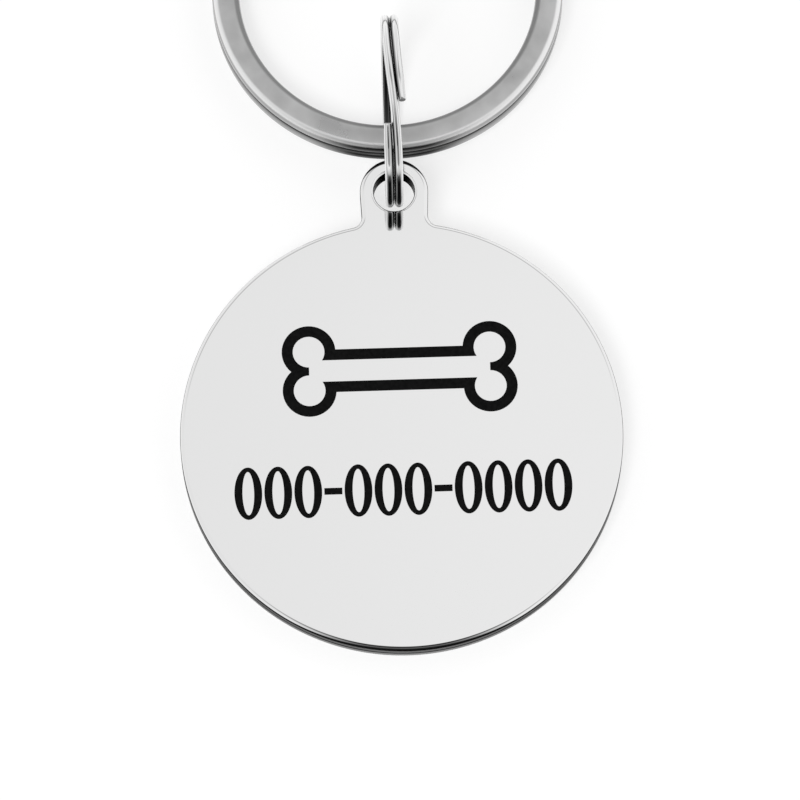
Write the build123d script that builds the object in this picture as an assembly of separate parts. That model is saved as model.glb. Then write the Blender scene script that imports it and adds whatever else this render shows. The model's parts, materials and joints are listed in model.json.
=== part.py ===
from build123d import *
import os
from math import asin, atan2, cos, degrees, hypot, pi, radians, sin, sqrt

# Pet id tag lying on a table: a polished round tag, a small wire split ring through its tab and a flat
# split key ring through that. Millimetres, +Z up, +Y from the tag towards the key ring.
# The origin is on the table under the middle of the whole part.

# Tag plate
disc_diameter = 32.0
plate_thickness = 2.0
rim_rounding = 0.3
tab_standoff = 2.33  # hole centre beyond the disc's edge
tab_wall = 1.0  # metal between the hole and the tab's edge
neck_taper = 2.5  # degrees, each side of the tab
neck_fillet = 0.8
hole_clearance = 0.15  # between the hole and the wire that goes through it
hole_rounding = 0.2

# Engraving, cut into the front face and filled with black
engraving_depth = 0.22
fill_recess = 0.06  # filling's surface below the plate's face
fill_clearance = 0.02  # between the filling and the walls and floor of its pocket
motif_rise = 4.9  # middle of the bone above the disc's centre
bone_length = 17.0
bone_height = 6.8
bone_lobe_overlap = 1.0  # of the two lobes at each end
bone_shaft_height = 3.2
bone_stroke = 0.8
number_drop = 4.1  # middle of the figures below the disc's centre
number_margin = 2.4  # from the disc's edge to the corners of the line of figures
figure_height = 3.9
figure_side_share = 0.29  # of a figure's width, for each of its sides
figure_top_stroke = 0.34
figure_gap = 0.16
dash_length = 1.3
dash_height = 0.5
figure_groups = [3, 3, 4]

# Small split ring, two turns of round wire, its axis along X
small_ring_diameter = 14.0
wire_diameter = 0.6
turn_gap = 0.08  # between the two turns
ring_slant = 36.7  # degrees between the plate and the ring's radius through the hole
wire_crossing_place = 93.5  # degrees from +Y towards +Z
wire_crossing_arc = 107.0
wire_ends_place = 110.5  # middle of the two cut ends
wire_ends_apart = 14.0  # degrees between the two cut ends
wire_splay_arc = 66.0  # degrees over which an end bends aside

# Key ring, two coils of flat wire
key_ring_diameter = 25.8
key_band_width = 2.0
key_coil_thickness = 1.15
key_coil_gap = 0.1
key_corner_rounding = 0.3
key_crossing_place = 90.0  # at the far end from the tag
key_crossing_arc = 40.0
key_end_gap = 3.0  # degrees between a cut end and the crossing
key_end_rounding = 0.12
key_seat_clearance = 0.12  # between the key ring and the inside of the small ring
tab_to_key_ring = 0.8

# Two measures closer than this are the same one
same_size = 1e-6

# Worked out from the above
disc_radius = disc_diameter / 2
bone_lobe_radius = (bone_height + bone_lobe_overlap) / 4
ring_outer = small_ring_diameter / 2
ring_inner = ring_outer - wire_diameter
ring_middle = ring_outer - wire_diameter / 2
turn_offset = (wire_diameter + turn_gap) / 2
ring_half_width = turn_offset + wire_diameter / 2


def crossing_offset(angle):
    # where the crossing wire is at this angle, on its way from the first layer to the second
    share = min(1, max(0, (angle - wire_crossing_place) / wire_crossing_arc + 0.5))
    eased = 2 * share**2 if share < 0.5 else 1 - 2 * (1 - share) ** 2
    return turn_offset * (2 * eased - 1)


# The wire crosses from one turn to the other between its cut ends, and pushes each of them aside.
wire_first_end = wire_ends_place + wire_ends_apart / 2
wire_last_end = wire_ends_place - wire_ends_apart / 2
first_splay = turn_offset - crossing_offset(wire_first_end)
last_splay = turn_offset + crossing_offset(wire_last_end)

# The wire goes through the hole at a slant, so it needs most room at the front face on one side of the
# hole and at the back face on the other.
ring_above_middle = ring_middle * sin(radians(ring_slant))
wire_at_front = sqrt(ring_outer**2 - (ring_above_middle - plate_thickness / 2) ** 2)
wire_at_back = sqrt(ring_inner**2 - (ring_above_middle + plate_thickness / 2) ** 2)
hole_to_ring = (wire_at_front + wire_at_back) / 2
hole_radius = hypot((wire_at_front - wire_at_back) / 2, ring_half_width) + hole_clearance
hole_offset = disc_radius + tab_standoff
tab_radius = hole_radius + tab_wall

# The ring stands on the table, and the tag leans on it with its far edge on the table.
ring_along = hole_offset + hole_to_ring  # ring's centre in the plate's own frame
ring_up = plate_thickness / 2 + ring_above_middle
lean_reach = disc_radius - rim_rounding + ring_along
lean_height = ring_up - rim_rounding
tag_tilt = asin((ring_outer - rim_rounding) / hypot(lean_reach, lean_height)) - atan2(lean_height, lean_reach)

# The key ring rests on the inside of the small ring, clear of the tab, with its far edge on the table.
tab_end = (
    (hole_offset + tab_radius - rim_rounding - ring_along) * cos(tag_tilt)
    + lean_height * sin(tag_tilt)
    + rim_rounding
)
key_radius = key_ring_diameter / 2
key_thickness = 2 * key_coil_thickness + key_coil_gap
key_corner_y = tab_end + tab_to_key_ring + key_corner_rounding
key_corner_z = -sqrt((ring_inner - key_seat_clearance - key_corner_rounding) ** 2 - key_corner_y**2)
key_corner_span = 2 * (key_radius - key_corner_rounding)
key_tilt = asin((key_corner_z + ring_outer - key_corner_rounding) / key_corner_span)

# Whole length along Y, measured from the small ring's centre, which places the origin
near_end = (
    -lean_reach * cos(tag_tilt)
    - (plate_thickness - rim_rounding - ring_up) * sin(tag_tilt)
    - rim_rounding
)
far_end = (
    key_corner_y
    + key_corner_span * cos(key_tilt)
    + (key_thickness - 2 * key_corner_rounding) * sin(key_tilt)
    + key_corner_rounding
)
ring_centre = Vector(0, -(near_end + far_end) / 2, ring_outer)

tag_place = Pos(ring_centre) * Rot(X=degrees(tag_tilt)) * Pos(0, -ring_along, -ring_up)
ring_place = Pos(ring_centre)
key_place = (
    Pos(ring_centre)
    * Pos(0, key_corner_y, key_corner_z)
    * Rot(X=-degrees(key_tilt))
    * Pos(0, key_radius - key_corner_rounding, -key_corner_rounding)
)


# Tag plate, in its own frame: the disc's centre on its back face is the origin, and the tab is at +Y

def plate_outline():
    taper = radians(neck_taper)
    hole_centre = Vector(0, hole_offset)
    side_top = Vector(tab_radius * cos(taper), hole_offset - tab_radius * sin(taper))
    side_run = hole_offset - disc_radius + tab_radius
    side_foot = side_top - Vector(sin(taper), cos(taper)) * side_run
    corners = [side_top, side_foot, Vector(-side_foot.X, side_foot.Y), Vector(-side_top.X, side_top.Y)]
    neck = make_face(Polyline(*corners, close=True))
    outline = Circle(disc_radius) + neck + Pos(hole_centre) * Circle(tab_radius)
    on_disc = [v for v in outline.vertices() if abs(hypot(v.X, v.Y) - disc_radius) < same_size]
    return fillet([v for v in on_disc if v.Y > 0], neck_fillet)


def bone(shrink):
    # the bone's outline, or a smaller one inside it that leaves a line of that width
    lobe_x = bone_length / 2 - bone_lobe_radius
    lobe_y = bone_height / 2 - bone_lobe_radius
    shape = Rectangle(2 * lobe_x, bone_shaft_height - 2 * shrink)
    for x in (-lobe_x, lobe_x):
        for y in (-lobe_y, lobe_y):
            shape += Pos(x, y) * Circle(bone_lobe_radius - shrink)
    return Pos(0, motif_rise) * shape


def motif_shapes(clearance):
    return [bone(clearance) - bone(bone_stroke - clearance)]


def number_shapes(clearance):
    # noughts in groups with a dash between them, spread over the width that the disc gives at this height
    low_corner = number_drop + figure_height / 2
    line_length = 2 * sqrt((disc_radius - number_margin) ** 2 - low_corner**2)
    dashes = len(figure_groups) - 1
    figures = sum(figure_groups)
    gaps = (figures + dashes - 1) * figure_gap
    figure_width = (line_length - dashes * dash_length - gaps) / figures
    half_width, half_height = figure_width / 2, figure_height / 2
    side_stroke = figure_side_share * figure_width
    nought = Ellipse(half_width - clearance, half_height - clearance) - Ellipse(
        half_width - side_stroke + clearance, half_height - figure_top_stroke + clearance
    )
    dash = Rectangle(dash_length - 2 * clearance, dash_height - 2 * clearance)
    shapes = []
    x = -line_length / 2
    for i, count in enumerate(figure_groups):
        row = ([(dash, dash_length)] if i else []) + [(nought, figure_width)] * count
        for shape, width in row:
            shapes.append(Pos(x + width / 2, -number_drop) * shape)
            x += width + figure_gap
    return shapes


def prisms(shapes, bottom, height):
    return [extrude(Pos(0, 0, bottom) * shape, height) for shape in shapes]


def tag_plate():
    plate = extrude(plate_outline(), plate_thickness)
    faces = plate.faces().sort_by(Axis.Z)
    plate = fillet(faces[0].edges() + faces[-1].edges(), rim_rounding)
    hole_place = Pos(0, hole_offset, plate_thickness / 2)
    plate -= hole_place * Cylinder(hole_radius, plate_thickness)
    circles = plate.edges().filter_by(GeomType.CIRCLE)
    plate = fillet([edge for edge in circles if abs(edge.radius - hole_radius) < same_size], hole_rounding)
    floor = plate_thickness - engraving_depth
    return plate - prisms(motif_shapes(0) + number_shapes(0), floor, engraving_depth)


def engraving_fill(shapes):
    bottom = plate_thickness - engraving_depth + fill_clearance
    return Compound(children=prisms(shapes, bottom, plate_thickness - fill_recess - bottom))


# Both rings are one wire of two turns: a turn in the first layer, a crossing to the second, and its turn

def on_circle(radius, angle, offset):
    return Vector(radius * cos(radians(angle)), radius * sin(radians(angle)), offset)


def along_circle(angle):
    return Vector(-sin(radians(angle)), cos(radians(angle)), 0)


def turn(radius, start, stop, offset):
    # one layer's arc, in halves
    middle = (start + stop) / 2
    arcs = []
    for a, b in ((start, middle), (middle, stop)):
        points = [on_circle(radius, angle, offset) for angle in (a, (a + b) / 2, b)]
        arcs.append(ThreePointArc(*points))
    return arcs


def arc_into(p, q, heading):
    # the arc from p that arrives at q with this heading
    chord = (q - p).normalized()
    return TangentArc(p, q, tangent=chord * (2 * heading.dot(chord)) - heading)


def wire_crossing(radius, start, stop, low, high):
    # two arcs that meet halfway with one direction, from one layer to the other
    p, q = on_circle(radius, start, low), on_circle(radius, stop, high)
    s, t = along_circle(start), along_circle(stop)
    span = q - p
    bend = 2 * (1 - s.dot(t))
    reach = (-span.dot(s + t) + sqrt(span.dot(s + t) ** 2 + bend * span.dot(span))) / bend
    joint = (p + q + (s - t) * reach) / 2
    return [TangentArc(p, joint, tangent=s), arc_into(joint, q, t)]


def wire_path():
    half = wire_crossing_arc / 2
    first, last = wire_first_end, wire_last_end + 720
    flat_start, flat_stop = first + wire_splay_arc, last - wire_splay_arc
    cross_start, cross_stop = wire_crossing_place - half + 360, wire_crossing_place + half + 360
    low_end = on_circle(ring_middle, first, -turn_offset - first_splay)
    high_end = on_circle(ring_middle, last, turn_offset + last_splay)
    low_flat = on_circle(ring_middle, flat_start, -turn_offset)
    high_flat = on_circle(ring_middle, flat_stop, turn_offset)
    return (
        [arc_into(low_end, low_flat, along_circle(flat_start))]
        + turn(ring_middle, flat_start, cross_start, -turn_offset)
        + wire_crossing(ring_middle, cross_start, cross_stop, -turn_offset, turn_offset)
        + turn(ring_middle, cross_stop, flat_stop, turn_offset)
        + [TangentArc(high_flat, high_end, tangent=along_circle(flat_stop))]
    )


def least_gap(path):
    # between the wire's surfaces where it passes itself, on points along its middle line
    wire = Wire(path)
    count = 600
    points = [wire.position_at(i / count) for i in range(count + 1)]
    skip = round(count / 8)
    spans = [(points[i] - points[j]).length for i in range(count + 1) for j in range(i + skip, count + 1)]
    return min(spans) - wire_diameter


def small_split_ring():
    path = wire_path()
    print("small ring's wire: least gap to itself", round(least_gap(path), 3))
    line = Wire(path)
    section = Plane(origin=line @ 0, z_dir=line % 0) * Circle(wire_diameter / 2)
    ring = sweep(section, path=line)
    print("volume over section times length", round(ring.volume / (pi * wire_diameter**2 / 4 * line.length), 5))
    return Plane(origin=(0, 0, 0), x_dir=(0, 1, 0), z_dir=(1, 0, 0)) * ring


def key_section(angle, offset):
    middle = key_radius - key_band_width / 2
    outward = Vector(cos(radians(angle)), sin(radians(angle)), 0)
    plane = Plane(origin=on_circle(middle, angle, offset), x_dir=outward, z_dir=along_circle(angle))
    return plane * RectangleRounded(key_band_width, key_coil_thickness, key_corner_rounding)


def key_crossing(start, stop, low, high):
    # an easy step from one layer to the other, with the section always upright
    steps = 8
    sections = []
    for i in range(steps + 1):
        share = i / steps
        rise = share * share * (3 - 2 * share)
        sections.append(key_section(start + (stop - start) * share, low + (high - low) * rise))
    return loft(sections)


def key_ring():
    low = key_coil_thickness / 2
    high = low + key_coil_thickness + key_coil_gap
    before = key_crossing_place - key_crossing_arc / 2
    after = key_crossing_place + key_crossing_arc / 2
    turn_arc = 360 - key_crossing_arc - key_end_gap
    low_turn = revolve(key_section(after + key_end_gap, low), Axis.Z, turn_arc)
    high_turn = revolve(key_section(after, high), Axis.Z, turn_arc)
    ring = low_turn + key_crossing(before, after, low, high) + high_turn
    flats = ring.faces().filter_by(GeomType.PLANE)
    ends = [face for face in flats if abs(face.normal_at().Z) < same_size]
    return fillet([edge for end in ends for edge in end.edges()], key_end_rounding)


os.makedirs("parts", exist_ok=True)
nodes = {
    "tag_plate": tag_place * tag_plate(),
    "motif_fill": tag_place * engraving_fill(motif_shapes(fill_clearance)),
    "number_fill": tag_place * engraving_fill(number_shapes(fill_clearance)),
    "small_split_ring": ring_place * small_split_ring(),
    "key_ring": key_place * key_ring(),
}
for name, shape in nodes.items():
    export_step(shape, f"parts/{name}.step")

print("hole radius", round(hole_radius, 3), "tab radius", round(tab_radius, 3))
print("tag tilt", round(degrees(tag_tilt), 3), "key ring tilt", round(degrees(key_tilt), 3))
print("small ring's centre", ring_centre)
print("key ring's centre on its lower face", key_place.position)
print("plate's middle on its back face", tag_place.position)
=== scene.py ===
import json
import math
import bpy
from mathutils import Matrix, Vector
from mathutils.geometry import tessellate_polygon


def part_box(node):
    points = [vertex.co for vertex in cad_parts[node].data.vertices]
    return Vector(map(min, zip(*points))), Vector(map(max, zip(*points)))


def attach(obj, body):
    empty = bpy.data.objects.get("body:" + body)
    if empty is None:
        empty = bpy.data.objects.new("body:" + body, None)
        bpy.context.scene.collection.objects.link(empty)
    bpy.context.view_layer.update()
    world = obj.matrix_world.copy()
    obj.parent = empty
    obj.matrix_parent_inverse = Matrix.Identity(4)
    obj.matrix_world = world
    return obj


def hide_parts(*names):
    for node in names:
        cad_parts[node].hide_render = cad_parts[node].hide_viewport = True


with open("model.json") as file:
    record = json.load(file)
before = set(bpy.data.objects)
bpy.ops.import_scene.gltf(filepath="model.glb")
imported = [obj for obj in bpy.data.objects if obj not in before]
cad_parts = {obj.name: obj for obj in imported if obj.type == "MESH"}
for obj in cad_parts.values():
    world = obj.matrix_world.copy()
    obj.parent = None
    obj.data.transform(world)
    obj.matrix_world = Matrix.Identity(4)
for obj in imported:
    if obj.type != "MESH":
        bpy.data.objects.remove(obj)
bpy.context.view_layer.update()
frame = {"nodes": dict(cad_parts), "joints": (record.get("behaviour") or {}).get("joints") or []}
joints = {joint["name"]: joint for joint in frame["joints"]}
mm = 0.001  # the sizes below are in millimetres, and Blender's are in metres
fullTurn = 360  # degrees
weldDistance = 1e-7  # metres, under which two points are one


# Small helpers: nodes, colours, meshes

def addNode(tree, kind, inputs=None, **settings):
    # adds a node, sets its properties, then fills or links its inputs.
    # A Mix node's inputs go by number: 0 is the share, 2 and 3 are numbers, 6 and 7 are colours.
    node = tree.nodes.new(kind)
    for name, value in settings.items():
        setattr(node, name, value)
    for key, value in (inputs or {}).items():
        if isinstance(value, bpy.types.NodeSocket):
            tree.links.new(value, node.inputs[key])
        else:
            node.inputs[key].default_value = value
    return node


def linear(hexColour):
    # sRGB hex to the linear colour that a socket takes
    channels = [int(hexColour[i:i + 2], 16) / 255 for i in (1, 3, 5)]
    steps = [c / 12.92 if c <= 0.04045 else ((c + 0.055) / 1.055) ** 2.4 for c in channels]
    return (*steps, 1.0)


def perMm(size):
    # texture scale for a feature of this many millimetres, on coordinates in metres
    return 1 / (size * mm)


def setRamp(node, stops):
    # colours along a ramp, as places and sRGB hex values
    ramp = node.color_ramp
    while len(ramp.elements) < len(stops):
        ramp.elements.new(0.5)
    for element, (place, hexColour) in zip(ramp.elements, stops):
        element.position = place
        element.color = linear(hexColour)


def newMaterial(name):
    material = bpy.data.materials.new(name)
    material.use_nodes = True
    return material, material.node_tree, material.node_tree.nodes["Principled BSDF"]


def newPiece(name, mesh, body, node):
    piece = bpy.data.objects.new(name, mesh)
    bpy.context.scene.collection.objects.link(piece)
    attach(piece, body)
    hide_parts(node)
    print(name, len(mesh.vertices), "points on", body)


def ease(share):
    # a smooth start and stop between 0 and 1
    share = min(1.0, max(0.0, share))
    return share * share * (3 - 2 * share)


# Where things are, from the frame

tagSizes = {
    "disc": 16.0, "thickness": 2.0, "rimRounding": 0.3,
    "tabStandoff": 2.33, "holeRadius": 1.48, "tabWall": 1.0, "holeRounding": 0.2,
    "neckTaper": 2.5, "neckFillet": 0.8,
    "roundingSteps": 8, "discSteps": 456, "tabSteps": 112,
    "filletSteps": 18, "neckSteps": 4, "holeSteps": 144,
}
holeCentre = Vector((0, tagSizes["disc"] + tagSizes["tabStandoff"], 0))  # in the tag's own frame


def tagPlace():
    # the tag's own frame: x to the right, y to the tab, z out of the front face, origin mid disc at the back.
    # Its tilt comes from the largest face that looks up, and its place from the low corner of the node's box.
    t = tagSizes
    mesh = frame["nodes"]["tag_plate"].data
    widest = max((p for p in mesh.polygons if p.normal.z > 0.5), key=lambda p: p.area)
    tilt = math.atan2(-widest.normal.y, widest.normal.z)
    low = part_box("tag_plate")[0]
    reach = (t["disc"] - t["rimRounding"]) * mm
    rounding, upper = t["rimRounding"] * mm, (t["thickness"] - t["rimRounding"]) * mm
    y = low.y + reach * math.cos(tilt) + upper * math.sin(tilt) + rounding
    z = low.z + reach * math.sin(tilt) - rounding * math.cos(tilt) + rounding
    return Matrix.Translation((0, y, z)) @ Matrix.Rotation(tilt, 4, "X"), tilt


tagMatrix, tagTilt = tagPlace()
ringCentre = Vector(joints["small_ring_swing"]["pos_m"])
keyCentre = Vector(joints["key_ring_turn"]["pos_m"])
keyAxis = Vector(joints["key_ring_turn"]["axis"]).normalized()
print("tag tilt", round(math.degrees(tagTilt), 3), "disc centre", tagMatrix.translation)


# Finishes

steelLook = {
    "steel": "#eeeeee", "roughness": (0.02, 0.045), "hazeSize": 5.0, "hazeFrom": 0.35, "hazeTo": 0.65,
    "edgeBands": (  # colours up the edge, as shares of the thickness; the dark ones are burnished metal darkened by painted reflection of the shade near the floor
        (0.26, "#f0f0f0"), (0.36, "#d8d8d8"), (0.48, "#383838"),
        (0.58, "#c4c4c4"), (0.72, "#b8b8b8"), (0.84, "#202020"),
    ),
    "glancing": "#747474",  # dulls the edge's reflections at a glancing angle
    "edgeTop": 0.79, "edgeSoftness": 0.09, "edgeRoughness": 0.24,  # its top is from mid thickness
    # at the tag's two ends the edge's painted shade reaches further up the rounding, and painted shade covers
    # the wall of the hole
    "endsMiddle": 2.4, "endFrom": 15.6, "endTo": 18.4, "endEdge": 0.1,
    "holePaintedShade": "#101010", "holeReach": 0.3,
    # a crescent of painted shade on the tab's tip, where the rings rub
    "tipPaintedShade": "#101010", "tipWidth": 0.36, "tipShift": 0.55, "tipBlur": 0.05,
    "streakLength": 5.0, "streakHeight": 0.13, "streakSway": 0.36,
}


def mirrorSteel():
    # stainless steel sheet, buffed to a mirror: sharp reflections with a faint haze.
    # Its blanked edge is unpolished: burnished lines over a pale torn band, in streaks along the edge;
    # painted reflection of shade makes the burnished lines dark.
    # Painted shade darkens the wall of the hole, a crescent on the tab's tip, and more of the rounding at the
    # tag's two ends.
    look, t = steelLook, tagSizes
    material, tree, shader = newMaterial("buffed_stainless_steel")
    coords = addNode(tree, "ShaderNodeTexCoord").outputs["Object"]
    haze = addNode(tree, "ShaderNodeTexNoise", {
        "Vector": coords, "Scale": perMm(look["hazeSize"]), "Detail": 4.0,
    })
    low, high = look["roughness"]
    polish = addNode(tree, "ShaderNodeMapRange", {
        "Value": haze.outputs["Fac"], "From Min": look["hazeFrom"], "From Max": look["hazeTo"],
        "To Min": low, "To Max": high,
    })
    own = addNode(tree, "ShaderNodeMapping", {  # the tag's own frame, so that z runs through its thickness
        "Vector": coords, "Location": tagMatrix.translation, "Rotation": (tagTilt, 0, 0),
    }, vector_type="TEXTURE")
    spot = addNode(tree, "ShaderNodeSeparateXYZ", {"Vector": own.outputs["Vector"]}).outputs
    height = spot["Z"]
    squeezed = addNode(tree, "ShaderNodeMapping", {
        "Vector": own.outputs["Vector"],
        "Scale": (perMm(look["streakLength"]), perMm(look["streakLength"]), perMm(look["streakHeight"])),
    })
    streaks = addNode(tree, "ShaderNodeTexNoise", {
        "Vector": squeezed.outputs["Vector"], "Scale": 1.0, "Detail": 3.0,
    })
    sway = look["streakSway"] * mm
    wander = addNode(tree, "ShaderNodeMath", {
        0: streaks.outputs["Fac"], 1: sway, 2: height,
    }, operation="MULTIPLY_ADD")
    band = addNode(tree, "ShaderNodeMapRange", {
        "Value": wander.outputs["Value"], "From Min": sway / 2, "From Max": t["thickness"] * mm + sway / 2,
    })
    zones = addNode(tree, "ShaderNodeValToRGB", {"Fac": band.outputs["Result"]})
    setRamp(zones, look["edgeBands"])
    # from mid thickness and from the tag's middle: 1 on the edge's wall, 0 on polished faces and roundings
    distances = []
    for value, middle in ((height, t["thickness"] / 2), (spot["Y"], look["endsMiddle"])):
        offset = addNode(tree, "ShaderNodeMath", {0: value, 1: middle * mm}, operation="SUBTRACT")
        distance = addNode(tree, "ShaderNodeMath", {0: offset.outputs["Value"]}, operation="ABSOLUTE")
        distances.append(distance.outputs["Value"])
    through, lengthwise = distances
    # at the tag's two ends the edge's colours, with their painted shade, reach further up the rounding
    atEnd = addNode(tree, "ShaderNodeMapRange", {
        "Value": lengthwise, "From Min": look["endFrom"] * mm, "From Max": look["endTo"] * mm,
        "To Min": 0.0, "To Max": look["endEdge"] * mm,
    }, interpolation_type="SMOOTHSTEP")
    lower = addNode(tree, "ShaderNodeMath", {0: through, 1: atEnd.outputs["Result"]}, operation="SUBTRACT")
    onWall = addNode(tree, "ShaderNodeMapRange", {
        "Value": lower.outputs["Value"], "From Min": look["edgeTop"] * mm,
        "From Max": (look["edgeTop"] + look["edgeSoftness"]) * mm, "To Min": 1.0, "To Max": 0.0,
    }, interpolation_type="SMOOTHSTEP")
    flat = addNode(tree, "ShaderNodeCombineXYZ", {"X": spot["X"], "Y": spot["Y"]})
    tab = holeCentre * mm
    fromHole = addNode(tree, "ShaderNodeVectorMath", {
        0: flat.outputs["Vector"], 1: tab,
    }, operation="DISTANCE")
    # painted shade on the wall of the hole
    inHole = addNode(tree, "ShaderNodeMapRange", {
        "Value": fromHole.outputs["Value"], "From Min": t["holeRadius"] * mm,
        "From Max": (t["holeRadius"] + look["holeReach"]) * mm, "To Min": 1.0, "To Max": 0.0,
    })
    edge = addNode(tree, "ShaderNodeMix", {
        0: inHole.outputs["Result"], 6: zones.outputs["Color"], 7: linear(look["holePaintedShade"]),
    }, data_type="RGBA")
    colour = addNode(tree, "ShaderNodeMix", {
        0: onWall.outputs["Result"], 6: linear(look["steel"]), 7: edge.outputs[2],
    }, data_type="RGBA")
    # the crescent of painted shade lies outside a circle that is set lower than the tab's own, on the front
    # rounding alone
    tipReach = (t["holeRadius"] + t["tabWall"] + look["tipShift"] - look["tipWidth"]) * mm
    fromTip = addNode(tree, "ShaderNodeVectorMath", {
        0: flat.outputs["Vector"], 1: tab - Vector((0, look["tipShift"] * mm, 0)),
    }, operation="DISTANCE")
    onTip = addNode(tree, "ShaderNodeMapRange", {
        "Value": fromTip.outputs["Value"], "From Min": tipReach, "From Max": tipReach + look["tipBlur"] * mm,
    })
    paintedShadeShare = onTip.outputs["Result"]
    for value, limit in ((spot["Y"], tab.y), (height, (t["thickness"] - t["rimRounding"]) * mm)):
        past = addNode(tree, "ShaderNodeMath", {0: value, 1: limit}, operation="GREATER_THAN")
        paintedShadeShare = addNode(tree, "ShaderNodeMath", {
            0: paintedShadeShare, 1: past.outputs["Value"],
        }, operation="MULTIPLY").outputs["Value"]
    colour = addNode(tree, "ShaderNodeMix", {
        0: paintedShadeShare, 6: colour.outputs[2], 7: linear(look["tipPaintedShade"]),
    }, data_type="RGBA")
    rough = addNode(tree, "ShaderNodeMix", {
        0: onWall.outputs["Result"], 2: polish.outputs["Result"], 3: look["edgeRoughness"],
    })
    sheen = addNode(tree, "ShaderNodeMix", {
        0: onWall.outputs["Result"], 6: (1, 1, 1, 1), 7: linear(look["glancing"]),
    }, data_type="RGBA")
    tree.links.new(colour.outputs[2], shader.inputs["Base Color"])
    tree.links.new(rough.outputs[0], shader.inputs["Roughness"])
    tree.links.new(sheen.outputs[2], shader.inputs["Specular Tint"])
    shader.inputs["Metallic"].default_value = 1.0
    return material


enamelLook = {
    "black": "#060606", "grey": "#101010", "toneFrom": 0.3, "toneTo": 0.7, "roughness": 0.6, "gloss": 0.06,
    "grain": 0.25, "grainDepth": 0.01, "grainStrength": 0.3,
}


def blackEnamel():
    # black enamel wiped into the engraving: matt, faintly uneven, almost no gloss
    look = enamelLook
    material, tree, shader = newMaterial("matt_black_enamel")
    coords = addNode(tree, "ShaderNodeTexCoord").outputs["Object"]
    grain = addNode(tree, "ShaderNodeTexNoise", {
        "Vector": coords, "Scale": perMm(look["grain"]), "Detail": 3.0,
    })
    tone = addNode(tree, "ShaderNodeValToRGB", {"Fac": grain.outputs["Fac"]})
    setRamp(tone, ((look["toneFrom"], look["black"]), (look["toneTo"], look["grey"])))
    tree.links.new(tone.outputs["Color"], shader.inputs["Base Color"])
    bump = addNode(tree, "ShaderNodeBump", {
        "Height": grain.outputs["Fac"],
        "Strength": look["grainStrength"], "Distance": look["grainDepth"] * mm,
    })
    tree.links.new(bump.outputs["Normal"], shader.inputs["Normal"])
    shader.inputs["Roughness"].default_value = look["roughness"]
    shader.inputs["Specular IOR Level"].default_value = look["gloss"]
    return material


def hiddenShare(tree, centre, axis, start, full):
    # 1 on the sides of a split ring that face its other turn, 0 on its outsides
    coords = addNode(tree, "ShaderNodeTexCoord").outputs
    apart = addNode(tree, "ShaderNodeVectorMath", {0: coords["Object"], 1: centre}, operation="SUBTRACT")
    height, facing = (
        addNode(tree, "ShaderNodeVectorMath", {0: value, 1: axis}, operation="DOT_PRODUCT").outputs["Value"]
        for value in (apart.outputs["Vector"], coords["Normal"])
    )
    side = addNode(tree, "ShaderNodeMath", {0: height}, operation="SIGN").outputs["Value"]
    outward = addNode(tree, "ShaderNodeMath", {0: side, 1: facing}, operation="MULTIPLY").outputs["Value"]
    return addNode(tree, "ShaderNodeMapRange", {
        "Value": outward, "From Min": -start, "From Max": -full,
    }, interpolation_type="SMOOTHSTEP").outputs["Result"]


def nearShare(tree, spot, full, gone):
    # 1 within so many millimetres of a spot, fading to 0 further away
    coords = addNode(tree, "ShaderNodeTexCoord").outputs["Object"]
    away = addNode(tree, "ShaderNodeVectorMath", {0: coords, 1: spot}, operation="DISTANCE").outputs["Value"]
    return addNode(tree, "ShaderNodeMapRange", {
        "Value": away, "From Min": full * mm, "From Max": gone * mm, "To Min": 1.0, "To Max": 0.0,
    }, interpolation_type="SMOOTHSTEP").outputs["Result"]


wireLook = {
    "nickel": "#f0f0f0", "dull": "#a4a4a4", "toneFrom": 0.3, "toneTo": 0.55,
    "lineLength": 9.0, "lineWidth": 0.09, "roughness": (0.08, 0.2), "lineFrom": 0.3, "lineTo": 0.7,
    # painted shade on the sides that face the other turn
    "crevice": "#141414", "creviceFacing": (0.25, 0.8),
    # outwards from the middle of the wire; the inside of the coil gets painted shade
    "inside": "#303030", "insideFrom": -0.2, "insideTo": -0.3, "crestFrom": 0.25, "crestTo": 0.3,
    # degrees round the coil to the tab's hole, where the crest gets painted shade, and how far that reaches
    "paintedShade": "#202020", "paintedShadePlace": 178.0, "paintedShadeFull": 2.3, "paintedShadeGone": 4.2,
    "cutSteel": "#a8a8a8", "cutRoughness": 0.6,
}


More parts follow.
